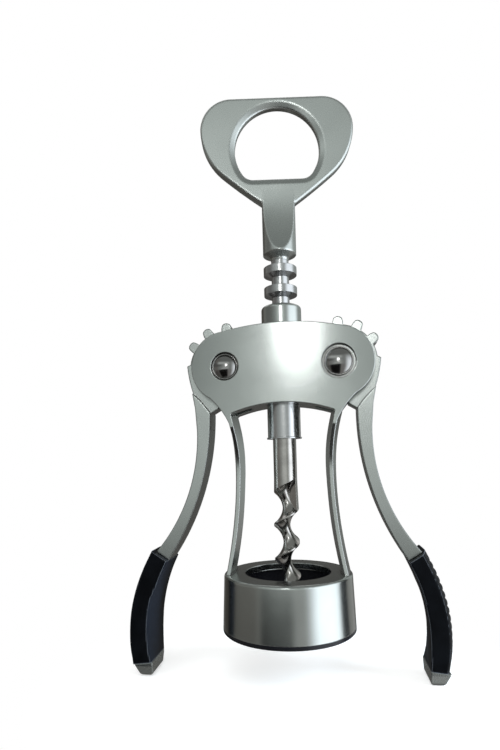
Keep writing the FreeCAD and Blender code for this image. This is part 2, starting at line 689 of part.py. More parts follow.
def opener_handle():
    """The flat handle with its opener mouth, on a round stem whose front and back run out from the flats."""
    body = new_body("opener_handle", turn=Rotation(Vector(0, 0, 1), SIZES["handle_turn"]))
    stem_z = of("stem_z")
    runout = of("runout_z")
    wide = of("handle_half_width")
    top = of("handle_top_z")
    # outline: a flat top, round corners, and sides of two arcs that run on into each other
    corner = of("handle_corner_radius")
    corner_z = top - corner
    side_radius = of("handle_side_radius")
    low_radius = of("handle_low_radius")
    side_end = -of("handle_side_turn")
    low_end = side_end - of("handle_low_turn")
    side_x = wide - side_radius
    low_x = side_x + (side_radius - low_radius) * cosine(side_end)
    low_z = corner_z + (side_radius - low_radius) * sine(side_end)

    def on_arc(across, up, radius, angle):
        return across + radius * cosine(angle), up + radius * sine(angle)

    right = [on_arc(low_x, low_z, low_radius, low_end),
             Via(*on_arc(low_x, low_z, low_radius, (side_end + low_end) / 2)),
             on_arc(side_x, corner_z, side_radius, side_end),
             Via(*on_arc(side_x, corner_z, side_radius, side_end / 2)), (wide, corner_z),
             Via(*on_arc(wide - corner, corner_z, corner, 45)), (wide - corner, top)]
    left = list(reversed(mirrored(right)))
    extrude(body, "Plate", "Pad", "XZ_Plane", [right + left], PLATE_HALF * 2)
    rim = rim_edges(body.Tip.Shape, PLATE_HALF, lambda edge: edge.BoundBox.ZMax > right[0][1].value + 0.1)
    bevel(body, "RimBevel", rim, of("handle_rim_bevel"))
    mouth = of("mouth_radius")
    mouth_z = of("mouth_z")
    flat_z = of("mouth_flat_z")
    # a circle with a flat floor, its two corners rounded
    corner = of("mouth_corner")
    corner_z = flat_z + corner
    to_corner = mouth - corner
    corner_x = root(to_corner * to_corner - (mouth_z - corner_z) * (mouth_z - corner_z))
    touch_x = corner_x * mouth / to_corner
    touch_z = mouth_z - (mouth_z - corner_z) * mouth / to_corner
    lean_x = corner_x / to_corner
    lean_z = (mouth_z - corner_z) / to_corner + 1
    lean = root(lean_x * lean_x + lean_z * lean_z)
    bend = (corner_x + corner * lean_x / lean, corner_z - corner * lean_z / lean)
    hole = [(corner_x, flat_z), Via(*bend), (touch_x, touch_z), Via(0, mouth_z + mouth),
            (-touch_x, touch_z), Via(-bend[0], bend[1]), (-corner_x, flat_z)]
    extrude(body, "Mouth", "Pocket", "XZ_Plane", [hole], PLATE_HALF * 4)
    mouth_rim = rim_edges(body.Tip.Shape, PLATE_HALF, in_mouth)
    bevel(body, "MouthBevel", mouth_rim, of("mouth_bevel"), of("mouth_bevel_depth"))
    cone = of("stem_cone")
    stem = [(0, RACK_TOP_Z), (RACK_ROOT, RACK_TOP_Z), (RACK_ROOT, stem_z - cone), (STEM_RADIUS, stem_z),
            (STEM_RADIUS, runout), (0, runout)]
    revolve(body, "Stem", "Revolution", [stem])
    # front and back of the stem run out in an arc that touches the plate's faces
    far = STEM_RADIUS + 2
    rise = runout - stem_z - 0.4
    drop = STEM_RADIUS - PLATE_HALF
    sweep = (drop * drop + rise * rise) / (drop * 2)
    halfway = PLATE_HALF + sweep - root(sweep * sweep - rise * rise / 4)
    front = [(-PLATE_HALF, runout + 1), (-PLATE_HALF, runout), Via(-halfway, runout - rise / 2),
             (-STEM_RADIUS, runout - rise), (-far, runout - rise), (-far, runout + 1)]
    extrude(body, "Runouts", "Pocket", "YZ_Plane", [front, mirrored(front)], STEM_RADIUS * 4)
    tail = of("tail_radius")
    socket = [(0, RACK_TOP_Z - 1), (tail, RACK_TOP_Z - 1), (tail, TAIL_END_Z), (0, TAIL_END_Z)]
    revolve(body, "TailSocket", "Groove", [socket])
    return body


def worm():
    """The screw: a tail up through the sleeve into the handle, and a rod with one hollow helical flute."""
    body = new_body("worm", turn=Rotation(Vector(0, 0, 1), SIZES["worm_turn"]))
    shank_end = of("shank_end_z")
    radius = of("worm_radius")
    tip = of("worm_tip_z")
    tail = of("tail_radius")
    pitch = of("worm_pitch")
    # the rod is a little wider below the shank and draws in to a point
    rod = [(0, tip), (0.5, tip + 0.3), Via(radius * 0.75, tip + 4.5), (radius, tip + pitch),
           (radius, shank_end - pitch), (SHANK_RADIUS, shank_end), (SHANK_RADIUS, of("shoulder_z")),
           (tail, of("shoulder_z")), (tail, TAIL_END_Z), (0, TAIL_END_Z)]
    revolve(body, "Rod", "Revolution", [rod])
    # the flute's hollow section leaves a thin blade between its turns and a slim core behind it
    middle = of("flute_end_z") - pitch * of("worm_turns")
    half = (pitch - of("blade_edge")) / 2
    over = radius + 0.6
    flute = [(radius, middle - half), Via(of("worm_core_radius"), middle), (radius, middle + half),
             (over, middle + half), (over, middle - half)]
    sketch = sketch_on(body, "FluteSketch", "XZ_Plane", [flute])
    before = body.Shape.Volume
    helix = body.newObject("PartDesign::SubtractiveHelix", "Flute")
    helix.Profile = sketch
    helix.ReferenceAxis = ([item for item in body.Origin.OriginFeatures if item.Role == "Z_Axis"][0], [""])
    helix.Mode = "pitch-turns-angle"
    helix.setExpression("Pitch", "Sizes.worm_pitch")
    helix.setExpression("Turns", "Sizes.worm_turns")
    helix.LeftHanded = False
    helix.Reversed = False
    DOC.recompute()
    check_change(body, "Flute", "SubtractiveHelix", before)
    return body


# ---------------------------------------------------------------- assembly and files
SUB_PARTS = [frame_casting(), bottle_seat_liner()]
for side_name, side in (("left", -1), ("right", 1)):
    cap_radius = of(f"{side_name}_cap_radius")
    SUB_PARTS += [pivot_pin(f"{side_name}_pivot_pin", side),
                  pivot_cap(f"{side_name}_front_cap", side, -1, cap_radius),
                  pivot_cap(f"{side_name}_rear_cap", side, 1, cap_radius),
                  lever(f"{side_name}_lever", side), grip(f"{side_name}_grip", side)]
SUB_PARTS += [rack_sleeve(), opener_handle(), worm()]

DOC.recompute()
for item in DOC.Objects:
    if "Invalid" in item.State or "Error" in item.State:
        raise RuntimeError(f"{item.Name} failed: {item.State}")
for sub_part in SUB_PARTS:
    shape = sub_part.Shape
    if shape.isNull() or not shape.isValid() or len(shape.Solids) != 1:
        raise RuntimeError(f"{sub_part.Label} is not one valid solid")

os.makedirs("parts", exist_ok=True)
for sub_part in SUB_PARTS:
    sub_part.Shape.exportStep(f"parts/{sub_part.Label}.step")
    box = sub_part.Shape.BoundBox
    print(f"{sub_part.Label:20s} volume {sub_part.Shape.Volume:9.2f}  x {box.XMin:7.2f} {box.XMax:7.2f}  "
          f"y {box.YMin:6.2f} {box.YMax:6.2f}  z {box.ZMin:7.2f} {box.ZMax:7.2f}")
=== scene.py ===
"""Looks of a wing corkscrew: satin nickel castings, bright rivet caps, a steel worm and soft black grips."""

import logging
import math
from dataclasses import dataclass
from enum import Enum
from typing import Any, Dict, List, Optional, Sequence, Tuple, Union

import bpy
import numpy as np
from mathutils import Matrix, Vector

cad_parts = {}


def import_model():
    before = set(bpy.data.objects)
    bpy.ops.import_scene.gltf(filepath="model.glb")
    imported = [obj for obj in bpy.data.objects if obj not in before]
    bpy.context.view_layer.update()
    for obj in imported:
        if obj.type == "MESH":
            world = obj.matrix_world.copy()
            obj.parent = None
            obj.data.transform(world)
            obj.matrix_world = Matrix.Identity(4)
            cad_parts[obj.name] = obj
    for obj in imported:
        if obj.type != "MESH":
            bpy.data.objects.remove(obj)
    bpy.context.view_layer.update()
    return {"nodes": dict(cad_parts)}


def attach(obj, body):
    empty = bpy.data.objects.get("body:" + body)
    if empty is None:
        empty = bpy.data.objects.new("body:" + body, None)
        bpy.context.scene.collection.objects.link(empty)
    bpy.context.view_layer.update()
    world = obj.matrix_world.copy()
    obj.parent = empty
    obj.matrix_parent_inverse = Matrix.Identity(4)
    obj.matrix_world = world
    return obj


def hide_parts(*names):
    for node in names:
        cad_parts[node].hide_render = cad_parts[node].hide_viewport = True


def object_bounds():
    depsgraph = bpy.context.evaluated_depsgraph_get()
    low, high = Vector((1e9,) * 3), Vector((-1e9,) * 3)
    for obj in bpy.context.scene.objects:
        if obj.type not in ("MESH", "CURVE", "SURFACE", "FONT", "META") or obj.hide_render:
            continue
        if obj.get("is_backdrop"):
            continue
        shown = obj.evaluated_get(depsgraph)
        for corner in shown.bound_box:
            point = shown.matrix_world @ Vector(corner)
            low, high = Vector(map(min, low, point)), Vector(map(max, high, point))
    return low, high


Colour = Tuple[float, float, float]
Point = Tuple[float, float, float]
Span = Tuple[float, float]
Stops = Tuple[float, float, float, float]

LOG = logging.getLogger("corkscrew")
MM = 0.001
DEGREES = 180.0 / math.pi
WHITE: Colour = (1.0, 1.0, 1.0)
THUMBED = "thumb_sheen"  # the mesh attribute that marks the thumb's flat on a grip
RICH_DETAIL = 3.0
BEVEL_SAMPLES = 10
GAP_SAMPLES = 8
EDGE_GAIN = 6.0
MIX_FACTOR = 0  # sockets of the Mix node, which has one set for each kind of value
MIX_COLOURS = (6, 7)
MIX_RESULT = 2


class Side(Enum):
    """Which of the two wings a piece belongs to; the value is the sign of X."""

    LEFT = -1
    RIGHT = 1

    @property
    def word(self) -> str:
        """The side's name as the bodies and nodes spell it."""
        return self.name.lower()


# ---------------------------------------------------------------- shader maths
class Signal:
    """One output socket; where it carries a number, arithmetic on it adds Math nodes."""

    def __init__(self, board: "Board", socket: bpy.types.NodeSocket) -> None:
        """Wrap an output socket of the board's tree."""
        self.board = board
        self.socket = socket

    def _math(self, operation: str, first: Any, second: Any = None) -> "Signal":
        """One Math node's result; each operand is a number or a Signal, and the second may be left out."""
        inputs = {0: first} if second is None else {0: first, 1: second}
        return self.board.node("ShaderNodeMath", {"operation": operation}, inputs).signal("Value")

    def __add__(self, other: Any) -> "Signal":
        """self + other."""
        return self._math("ADD", self, other)

    def __radd__(self, other: Any) -> "Signal":
        """other + self."""
        return self._math("ADD", other, self)

    def __sub__(self, other: Any) -> "Signal":
        """self - other."""
        return self._math("SUBTRACT", self, other)

    def __rsub__(self, other: Any) -> "Signal":
        """other - self."""
        return self._math("SUBTRACT", other, self)

    def __mul__(self, other: Any) -> "Signal":
        """self * other."""
        return self._math("MULTIPLY", self, other)

    def __pow__(self, other: Any) -> "Signal":
        """self ** other."""
        return self._math("POWER", self, other)

    def ramp(self, low: float, high: float) -> "Signal":
        """A smooth step.

        Args:
            low: where it is still 0.
            high: where it has reached 1.
        Returns:
            The step.
        """
        node = self.board.node("ShaderNodeMapRange", {"interpolation_type": "SMOOTHSTEP"},
                               {"Value": self, "From Min": low, "From Max": high})
        return node.signal("Result")

    def swing(self, size: float) -> "Signal":
        """A noise as a drift to both sides: from -size / 2 where it is 0 to size / 2 where it is 1."""
        return (self - 0.5) * size

    def bearing(self, ahead: "Signal") -> "Signal":
        """The direction of a point that lies this far to the right and so far ahead, in degrees."""
        return self._math("ARCTAN2", self, ahead) * DEGREES

    def rise(self) -> "Signal":
        """The angle whose sine this is, in degrees."""
        return self._math("ARCSINE", self) * DEGREES


class Made:
    """A node that has been added, with its outputs within reach."""

    def __init__(self, board: "Board", raw: bpy.types.Node) -> None:
        """Wrap a node."""
        self.board = board
        self.raw = raw

    def signal(self, output: Union[str, int]) -> Signal:
        """One output as a Signal."""
        return Signal(self.board, self.raw.outputs[output])


class Board:
    """The node tree of one material or of the world."""

    def __init__(self, tree: bpy.types.NodeTree) -> None:
        """Empty the tree and keep it."""
        tree.nodes.clear()
        self.tree = tree

    def node(self, kind: str, settings: Optional[Dict[str, Any]] = None,
             inputs: Optional[Dict[Union[str, int], Any]] = None) -> Made:
        """Add any node.

        Args:
            kind: the node's type.
            settings: its properties, set before its sockets.
            inputs: values or Signals for its sockets.
        Returns:
            The node.
        """
        raw = self.tree.nodes.new(kind)
        for name, value in (settings or {}).items():
            setattr(raw, name, value)
        for name, value in (inputs or {}).items():
            if isinstance(value, Signal):
                self.tree.links.new(value.socket, raw.inputs[name])
            else:
                raw.inputs[name].default_value = value
        return Made(self, raw)

    def mix(self, factor: Any, first: Any, second: Any) -> Signal:
        """Mix two colours.

        Args:
            factor: how much of the second one shows, a number or a Signal.
            first: a colour, as a triple or a Signal.
            second: a colour, as a triple or a Signal.
        Returns:
            The mixed colour.
        """
        inputs = {MIX_FACTOR: factor}
        for socket, colour in zip(MIX_COLOURS, (first, second)):
            inputs[socket] = colour if isinstance(colour, Signal) else (*colour, 1.0)
        return self.node("ShaderNodeMix", {"data_type": "RGBA"}, inputs).signal(MIX_RESULT)

    def place(self) -> Signal:
        """Object coordinates, in metres."""
        return self.node("ShaderNodeTexCoord").signal("Object")

    def noise(self, scale: float, detail: float = 2.0, where: Optional[Signal] = None,
              roughness: float = 0.5) -> Signal:
        """Noise from 0 to 1; scale is in cells per metre."""
        inputs = {"Vector": where or self.place(), "Scale": scale, "Detail": detail, "Roughness": roughness}
        return self.node("ShaderNodeTexNoise", None, inputs).signal("Fac")

    def strokes(self, scale: Point, detail: float = 2.0, roughness: float = 0.5) -> Signal:
        """Noise with its own scale along each axis, in cells per metre, which draws it out into strokes."""
        where = self.node("ShaderNodeMapping", None, {"Vector": self.place(), "Scale": scale})
        return self.noise(1.0, detail, where.signal("Vector"), roughness)

    def facing(self, rounding: float) -> Signal:
        """The surface's normal with its edges rounded by a radius in metres."""
        return self.node("ShaderNodeBevel", {"samples": BEVEL_SAMPLES}, {"Radius": rounding}).signal("Normal")

    def edge(self, rounded: Signal) -> Signal:
        """How far a rounded normal leans from the true one.

        Args:
            rounded: the rounded normal.
        Returns:
            (1 - the dot product of the two) * EDGE_GAIN, which is 0 on a face and rises on an edge.
        """
        true = self.node("ShaderNodeNewGeometry").signal("Normal")
        dot = self.node("ShaderNodeVectorMath", {"operation": "DOT_PRODUCT"}, {0: rounded, 1: true})
        return (1.0 - dot.signal("Value")) * EDGE_GAIN

    def crevice(self, reach: float) -> Signal:
        """How shut in a spot is by what stands within a reach in metres: 0 in the open, 1 deep in a gap."""
        node = self.node("ShaderNodeAmbientOcclusion", {"samples": GAP_SAMPLES}, {"Distance": reach})
        return 1.0 - node.signal("AO")

    def bump(self, height: Signal, depth: float, normal: Optional[Signal] = None) -> Signal:
        """A bumped normal.

        Args:
            height: the relief, from 0 to 1.
            depth: what a height of 1 stands for, in metres.
            normal: the rounded normal that the relief goes over, if there is one.
        Returns:
            The normal.
        """
        inputs = {"Height": height, "Distance": depth, "Strength": 1.0}
        if normal is not None:
            inputs["Normal"] = normal
        return self.node("ShaderNodeBump", None, inputs).signal("Normal")

    def shader(self, inputs: Dict[str, Any]) -> None:
        """Join a Principled shader to the material's output."""
        made = self.node("ShaderNodeBsdfPrincipled", None, inputs)
        self.node("ShaderNodeOutputMaterial", None, {"Surface": made.signal("BSDF")})


# ---------------------------------------------------------------- finishes
def scaled(colour: Colour, share: float) -> Colour:
    """A colour with each of its parts times a share."""
    return tuple(part * share for part in colour)


class Finish:
    """A surface finish that can build its material once.

    In the finishes below lengths are in metres and noise scales in cells per metre. A ramp is where a noise
    or an edge starts to count and where it counts in full. A share is how much of another colour goes on.
    The values that end in rough are how far a noise moves the roughness.
    """

    name = "finish"

    def paint(self, board: Board) -> None:
        """Fill the material's node tree, which is empty."""
        raise NotImplementedError

    def material(self) -> bpy.types.Material:
        """Give the finish's material, which is made on first use.

        Returns:
            The material.
        """
        made = bpy.data.materials.get(self.name)
        if made is None:
            made = bpy.data.materials.new(self.name)
            made.use_nodes = True
            self.paint(Board(made.node_tree))
        return made


@dataclass(frozen=True)
class SatinNickel(Finish):
    """Satin nickel over a casting: fine grain, faint clouds, edges in a painted tone (a highlight where
    paler, shade where darker), and painted shade in the gaps.
    """

    name: str = "satin_nickel"
    colour: Colour = (0.45, 0.475, 0.46)
    dullest: float = 0.93
    # the edge colour is painted light: paler than the base for a highlight, darker for a dark reflection
    painted_edge: Colour = (0.24, 0.25, 0.245)
    rim_ramp: Span = (0.05, 0.9)
    rim_share: float = 0.85
    rim_gloss: float = 0.05
    # painted shade: a darker colour laid over gaps and recesses, where shade falls
    rounding: float = 0.35 * MM
    gap_shade: Colour = (0.07, 0.066, 0.062)
    gap_reach: float = 1.8 * MM
    gap_ramp: Span = (0.2, 0.7)
    gap_share: float = 0.9
    gap_rough: float = 0.15
    cloud_scale: float = 90.0
    cloud_ramp: Span = (0.3, 0.7)
    cloud_rough: float = 0.06
    grain_scale: float = 5200.0
    grain_rough: float = 0.06
    grain_depth: float = 0.0022 * MM
    roughness: float = 0.27

    def paint(self, board: Board) -> None:
        """Slow noise moves the colour and roughness, fine noise makes the grain, a bevel rounds the edges.

        Args:
            board: the empty node tree.
        """
        cloud = board.noise(self.cloud_scale, RICH_DETAIL)
        grain = board.noise(self.grain_scale)
        rounded = board.facing(self.rounding)
        painted_edge = board.edge(rounded).ramp(*self.rim_ramp)
        base = board.mix(cloud.ramp(*self.cloud_ramp), scaled(self.colour, self.dullest), self.colour)
        # the edges take a painted tone: a highlight on the handle, a dark reflection on the levers, nearly
        # the base tone on the casting
        base = board.mix(painted_edge * self.rim_share, base, self.painted_edge)
        # painted shade: ambient occlusion darkens the colour in gaps and recesses, where shade falls
        shut = board.crevice(self.gap_reach).ramp(*self.gap_ramp)
        base = board.mix(shut * self.gap_share, base, self.gap_shade)
        rough = self.roughness + cloud.swing(self.cloud_rough) + grain.swing(self.grain_rough)
        rough = rough - painted_edge * self.rim_gloss + shut * self.gap_rough
        normal = board.bump(grain, self.grain_depth, rounded)
        board.shader({"Base Color": base, "Metallic": 1.0, "Roughness": rough, "Normal": normal})


# edge colours: nearly the base tone on the casting, a painted dark reflection on the levers, a painted
# highlight on the handle
CASTING_NICKEL = SatinNickel("casting_nickel", painted_edge=(0.44, 0.45, 0.445), roughness=0.22, rounding=0.45 * MM)
LEVER_NICKEL = SatinNickel("lever_nickel", painted_edge=(0.15, 0.155, 0.15), rounding=0.6 * MM)
HANDLE_NICKEL = SatinNickel("handle_nickel", painted_edge=(0.66, 0.68, 0.67), rounding=0.9 * MM)


@dataclass(frozen=True)
class TurnedNickel(Finish):
    """Plated steel turned on a lathe: fine rings round the upright axis that stretch the highlights."""

    name: str = "turned_nickel"
    colour: Colour = (0.50, 0.505, 0.51)
    dullest: float = 0.9
    # painted highlight on the edges
    painted_edge: Colour = (0.78, 0.78, 0.79)
    rim_ramp: Span = (0.1, 1.0)
    rim_share: float = 0.4
    rounding: float = 0.2 * MM
    ring_scale: Point = (150.0, 150.0, 9000.0)
    ring_ramp: Span = (0.25, 0.75)
    ring_rough: float = 0.16
    ring_depth: float = 0.006 * MM
    cloud_scale: float = 160.0
    cloud_rough: float = 0.08
    roughness: float = 0.22

    def paint(self, board: Board) -> None:
        """Noise squeezed along Z gives the turning lines for the colour, the roughness and the bump.

        Args:
            board: the empty node tree.
        """
        rings = board.strokes(self.ring_scale)
        cloud = board.noise(self.cloud_scale)
        rounded = board.facing(self.rounding)
        painted_edge = board.edge(rounded).ramp(*self.rim_ramp)
        base = board.mix(rings.ramp(*self.ring_ramp), scaled(self.colour, self.dullest), self.colour)
        # paler edges: a painted highlight
        base = board.mix(painted_edge * self.rim_share, base, self.painted_edge)
        rough = self.roughness + rings.swing(self.ring_rough) + cloud.swing(self.cloud_rough)
        normal = board.bump(rings, self.ring_depth, rounded)
        board.shader({"Base Color": base, "Metallic": 1.0, "Roughness": rough, "Normal": normal})


@dataclass(frozen=True)
class RivetSteel(Finish):
    """Polished rivet caps with a warm grey cast and the faint scuffs of handling."""

    name: str = "rivet_steel"
    colour: Colour = (0.30, 0.297, 0.29)
    dullest: float = 0.88
    tint_scale: float = 420.0
    scuff_scale: Point = (700.0, 700.0, 2600.0)
    scuff_breakup: float = 0.7
    scuff_ramp: Span = (0.55, 0.8)
    scuff_rough: float = 0.14
    scuff_depth: float = 0.003 * MM
    roughness: float = 0.13

    def paint(self, board: Board) -> None:
        """Scuffs from stretched noise raise the roughness in thin strokes.

        Args:
            board: the empty node tree.
        """
        scuff = board.strokes(self.scuff_scale, RICH_DETAIL, self.scuff_breakup).ramp(*self.scuff_ramp)
        tint = board.noise(self.tint_scale)
        base = board.mix(tint, scaled(self.colour, self.dullest), self.colour)
        rough = self.roughness + scuff * self.scuff_rough
        normal = board.bump(scuff, self.scuff_depth)
        board.shader({"Base Color": base, "Metallic": 1.0, "Roughness": rough, "Normal": normal})


@dataclass(frozen=True)
class WormSteel(Finish):
    """Ground steel of the worm: darker and warmer than the plating, with grinding marks across its axis."""

    name: str = "worm_steel"
    colour: Colour = (0.45, 0.435, 0.415)
    dullest: float = 0.78
    # painted highlight on the edges
    painted_edge: Colour = (0.72, 0.71, 0.69)
    rim_ramp: Span = (0.1, 0.9)
    rim_share: float = 0.5
    rounding: float = 0.12 * MM
    stain_scale: float = 240.0
    stain_ramp: Span = (0.3, 0.7)
    mark_scale: Point = (900.0, 900.0, 3600.0)
    mark_breakup: float = 0.6
    mark_rough: float = 0.2
    mark_depth: float = 0.005 * MM
    roughness: float = 0.17

    def paint(self, board: Board) -> None:
        """Grinding marks are noise stretched across the axis; slow noise gives a darker stain in patches.

        Args:
            board: the empty node tree.
        """
        marks = board.strokes(self.mark_scale, roughness=self.mark_breakup)
        stain = board.noise(self.stain_scale, RICH_DETAIL)
        rounded = board.facing(self.rounding)
        painted_edge = board.edge(rounded).ramp(*self.rim_ramp)
        base = board.mix(stain.ramp(*self.stain_ramp), scaled(self.colour, self.dullest), self.colour)
        # paler edges: a painted highlight
        base = board.mix(painted_edge * self.rim_share, base, self.painted_edge)
        rough = self.roughness + marks.swing(self.mark_rough)
        normal = board.bump(marks, self.mark_depth, rounded)
        board.shader({"Base Color": base, "Metallic": 1.0, "Roughness": rough, "Normal": normal})


@dataclass(frozen=True)
class SeatPlastic(Finish):
    """Black moulded plastic with a soft gloss and faint moulding waves."""

    name: str = "seat_plastic"
    colour: Colour = (0.006, 0.006, 0.0075)
    palest: float = 1.9
    specular: float = 0.2
    wave_scale: float = 130.0
    wave_rough: float = 0.16
    skin_scale: float = 4200.0
    skin_rough: float = 0.08
    skin_depth: float = 0.004 * MM
    roughness: float = 0.26

    def paint(self, board: Board) -> None:
        """Slow noise moves the colour and the gloss; a fine noise gives the moulded skin.

        Args:
            board: the empty node tree.
        """
        wave = board.noise(self.wave_scale)
        skin = board.noise(self.skin_scale)
        base = board.mix(wave, self.colour, scaled(self.colour, self.palest))
        rough = self.roughness + wave.swing(self.wave_rough) + skin.swing(self.skin_rough)
        normal = board.bump(skin, self.skin_depth)
        board.shader({"Base Color": base, "Roughness": rough, "Normal": normal,
                      "Specular IOR Level": self.specular})


@dataclass(frozen=True)
class SoftBlack(Finish):
    """Soft-touch black moulding: a fine spark-eroded texture, paler corners that are a painted highlight, and
    a paler, bluer thumb facet that is a painted sheen.
    """

    name: str = "soft_black"
    colour: Colour = (0.0015, 0.0018, 0.0025)
    dusty: Colour = (0.0030, 0.0037, 0.0052)
    # the thumb facet's colour is a painted sheen: bluish light from the right laid on as colour
    thumb_sheen: Colour = (0.0120, 0.0160, 0.0250)
    thumb_sheen_least: float = 0.7
    thumb_sheen_drift: float = 0.6
    # pale corners: a painted highlight
    painted_edge_highlight: Colour = (0.12, 0.13, 0.15)
    rim_ramp: Span = (0.04, 0.45)
    rim_share: float = 0.8
    rounding: float = 0.55 * MM
    specular: float = 0.07
    patch_scale: float = 140.0
    patch_ramp: Span = (0.3, 0.75)
    patch_rough: float = 0.14
    fine_scale: float = 3600.0
    fine_rough: float = 0.12
    fine_depth: float = 0.012 * MM
    roughness: float = 0.42

    def paint(self, board: Board) -> None:
        """Two scales of noise make the texture; the mesh's own attribute says where the thumb facet is.

        Args:
            board: the empty node tree.
        """
        fine = board.noise(self.fine_scale, RICH_DETAIL)
        patch = board.noise(self.patch_scale, RICH_DETAIL)
        rounded = board.facing(self.rounding)
        painted_edge = board.edge(rounded).ramp(*self.rim_ramp)
        base = board.mix(patch.ramp(*self.patch_ramp), self.colour, self.dusty)
        facet = board.node("ShaderNodeAttribute", {"attribute_name": THUMBED}).signal("Fac")
        # the thumb facet is painted paler and bluer: a painted sheen of the light from the right
        base = board.mix(facet * (self.thumb_sheen_least + patch * self.thumb_sheen_drift), base, self.thumb_sheen)
        # paler corners: a painted highlight
        base = board.mix(painted_edge * self.rim_share, base, self.painted_edge_highlight)
        rough = self.roughness + patch.swing(self.patch_rough) + fine.swing(self.fine_rough)
        normal = board.bump(fine, self.fine_depth, rounded)
        board.shader({"Base Color": base, "Roughness": rough, "Normal": normal,
                      "Specular IOR Level": self.specular})


# ---------------------------------------------------------------- surfaces
def ring_faces(rows: int, around: int) -> np.ndarray:
    """Corner numbers of the quads between neighbouring rings of points.

    Point j of ring i has the number i * around + j. A quad joins points j and j + 1 of one ring to the same
    ones of the next.

    Args:
        rows: number of rings.
        around: points in each ring, whose last one joins its first.
    Returns:
        An array of quads.
    """
    row = np.arange(rows - 1)[:, None] * around
    point = np.arange(around)[None, :]
    after = (point + 1) % around
    quads = (row + point, row + after, row + around + after, row + around + point)
    return np.stack(quads, axis=-1).reshape(-1, 4)


def add_surface(name: str, points: np.ndarray, faces: np.ndarray, caps: Sequence[Sequence[int]],
                finish: Finish, sharp_degrees: float) -> bpy.types.Object:
    """Put computed points and quads into a mesh object at the origin.

    Args:
        name: the piece's name.
        points: an (n, 3) array in metres.
        faces: an (m, 4) array of corner numbers.
        caps: extra faces of any number of corners.
        finish: what covers it.
        sharp_degrees: edges that turn more than this stay sharp.
    Returns:
        The object.
    """
    mesh = bpy.data.meshes.new(name)
    mesh.from_pydata(points.tolist(), [], faces.tolist() + [list(cap) for cap in caps])
    mesh.materials.append(finish.material())
    mesh.update()
    mesh.shade_smooth()
    mesh.set_sharp_from_angle(angle=math.radians(sharp_degrees))
    piece = bpy.data.objects.new(name, mesh)
    bpy.context.scene.collection.objects.link(piece)
    LOG.info("%s: %d points, %d faces", name, len(points), len(mesh.polygons))
    return piece


def dress(node: bpy.types.Object, finish: Finish) -> None:
    """Give a CAD node one finish through its material slots.

    Args:
        node: the CAD node's object.
        finish: what covers it.
    """
    if not node.material_slots:
        node.data.materials.append(finish.material())
    for slot in node.material_slots:
        slot.link = "OBJECT"
        slot.material = finish.material()
    LOG.info("%s wears %s", node.name, finish.name)


def through(stations: Sequence[Span], count: int) -> np.ndarray:
    """A smooth line through points in a plane.

    It is made of cubic pieces. The slope at each point is a mean of the two chords beside it, in which the
    shorter one counts for more.

    Args:
        stations: the points.
        count: how many points to give back, evenly spread in the line's own parameter.
    Returns:
        A (count, 2) array.
    """
    knots = np.asarray(stations, dtype=float)
    chord = np.concatenate([[0.0], np.cumsum(np.linalg.norm(np.diff(knots, axis=0), axis=1))])
    slope = np.gradient(knots, chord, axis=0)
    wanted = np.linspace(0.0, chord[-1], count)
    index = np.clip(np.searchsorted(chord, wanted, side="right") - 1, 0, len(chord) - 2)
    span = (chord[index + 1] - chord[index])[:, None]
    part = ((wanted - chord[index]) / span[:, 0])[:, None]
    start = 2 * part ** 3 - 3 * part ** 2 + 1
    start_slope = part ** 3 - 2 * part ** 2 + part
    end = 3 * part ** 2 - 2 * part ** 3
    end_slope = part ** 3 - part ** 2
    return (start * knots[index] + start_slope * span * slope[index]
            + end * knots[index + 1] + end_slope * span * slope[index + 1])


def slide(value: np.ndarray, zero: float, reach: float) -> np.ndarray:
    """An even rise from 0 at zero to 1 at zero + reach, flat beyond both; the reach may be negative."""
    return np.clip((value - zero) / reach, 0, 1)


# ---------------------------------------------------------------- sub-assemblies
@dataclass
class Frame:
    """The casting with its plastic seat, pivot pins and rivet caps, all carried over from the solids."""

    nodes: Dict[str, bpy.types.Object]
    casting: Finish = CASTING_NICKEL
    caps: Finish = RivetSteel()
    seat: Finish = SeatPlastic()

    def build(self) -> None:
        """Dress every node of the frame."""
        dress(self.nodes["frame_casting"], self.casting)
        dress(self.nodes["bottle_seat_liner"], self.seat)
        for side in Side:
            dress(self.nodes[f"{side.word}_pivot_pin"], self.caps)
            for end in ("front", "rear"):
                dress(self.nodes[f"{side.word}_{end}_cap"], self.caps)


